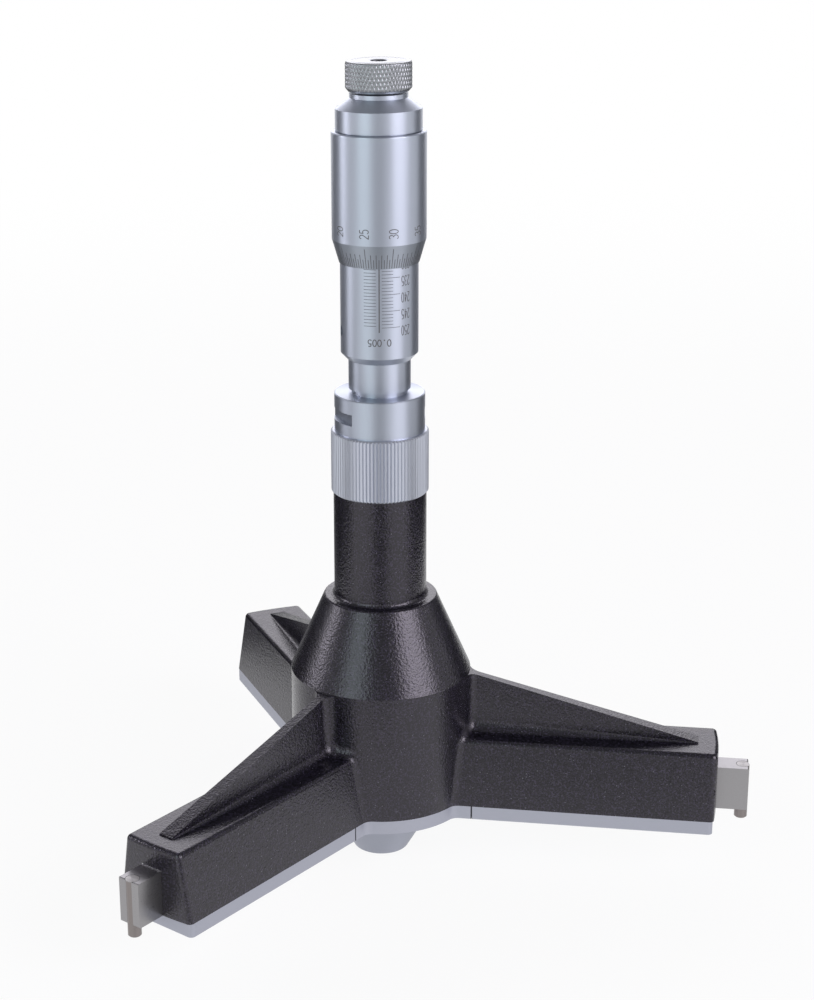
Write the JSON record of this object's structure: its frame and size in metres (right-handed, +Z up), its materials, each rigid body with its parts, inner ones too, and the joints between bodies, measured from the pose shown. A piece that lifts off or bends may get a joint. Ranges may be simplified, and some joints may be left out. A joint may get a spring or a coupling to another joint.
{
  "type": "inside micrometer",
  "caption": "Three-point inside micrometer for large bores: ribbed three-arm body with sliding jaws, fed by a thimble, sleeve and friction knob.",
  "frame": {"origin": "centre of the nose's flat foot", "axes": "+Z up the micrometer's axis towards the knob, +X along arm 1"},
  "size_m": [0.1803, 0.2044, 0.2521],
  "materials": {
    "black_casting": "fine textured black paint on a light-alloy casting",
    "cover_plate": "matte silver",
    "nose_alloy": "turned, matte",
    "satin_chrome": "satin chrome plated",
    "knurled_steel": "matte plated, knurled",
    "ground_steel": "ground steel",
    "hard_metal": "lapped hard metal",
    "bearing_bronze": "bored bronze",
    "spring_steel": "drawn wire"
  },
  "bodies": {
    "fixed_body": {"body_casting": "black_casting", "hub_cover": "cover_plate", "nose_cap": "nose_alloy", "cover_screws": "ground_steel", "spring_posts": "ground_steel", "guide_bush": "bearing_bronze", "guide_key": "ground_steel", "coupling_ring": "knurled_steel", "head_stem": "satin_chrome", "inner_sleeve": "ground_steel", "graduated_sleeve": "satin_chrome", "adjusting_nut": "ground_steel", "arm_cover_1": "cover_plate", "return_spring_1": "spring_steel", "arm_cover_2": "cover_plate", "return_spring_2": "spring_steel", "arm_cover_3": "cover_plate", "return_spring_3": "spring_steel"},
    "cone_group": {"measuring_cone": "ground_steel", "push_rod": "ground_steel", "push_ball": "hard_metal"},
    "thimble_group": {"spindle": "ground_steel", "thimble": "satin_chrome", "thimble_cap": "satin_chrome", "drive_spring": "spring_steel", "drive_washer": "ground_steel", "drive_screw": "ground_steel"},
    "knob_group": {"ratchet_knob": "knurled_steel"},
    "jaw_group_1": {"jaw_1": "ground_steel", "contact_pin_1": "hard_metal"},
    "jaw_group_2": {"jaw_2": "ground_steel", "contact_pin_2": "hard_metal"},
    "jaw_group_3": {"jaw_3": "ground_steel", "contact_pin_3": "hard_metal"}
  },
  "joints": [
    {"name": "cone_feed", "type": "slide", "parent": "fixed_body", "child": "cone_group", "axis": [0, 0, -1], "range_m": [-0.00728, 0.01773]},
    {"name": "thimble_turn", "type": "hinge", "parent": "cone_group", "child": "thimble_group", "pos_m": [0, 0, 0.2], "axis": [0, 0, -1], "range_deg": [-5238.5, 12762.5]},
    {"name": "knob_turn", "type": "hinge", "parent": "thimble_group", "child": "knob_group", "pos_m": [0, 0, 0.245], "axis": [0, 0, -1], "continuous": true},
    {"name": "jaw_slide_1", "type": "slide", "parent": "fixed_body", "child": "jaw_group_1", "axis": [1, 0, 0], "range_m": [-0.00364, 0.00887], "deforming": ["return_spring_1"]},
    {"name": "jaw_slide_2", "type": "slide", "parent": "fixed_body", "child": "jaw_group_2", "axis": [-0.5, 0.866, 0], "range_m": [-0.00364, 0.00887], "deforming": ["return_spring_2"]},
    {"name": "jaw_slide_3", "type": "slide", "parent": "fixed_body", "child": "jaw_group_3", "axis": [-0.5, -0.866, 0], "range_m": [-0.00364, 0.00887], "deforming": ["return_spring_3"]}
  ],
  "couplings": [
    {"joint": "thimble_turn", "follows": "cone_feed", "rad_per_m": 12566},
    {"joint": "jaw_slide_1", "follows": "cone_feed", "ratio": 0.5},
    {"joint": "jaw_slide_2", "follows": "cone_feed", "ratio": 0.5},
    {"joint": "jaw_slide_3", "follows": "cone_feed", "ratio": 0.5}
  ]
}
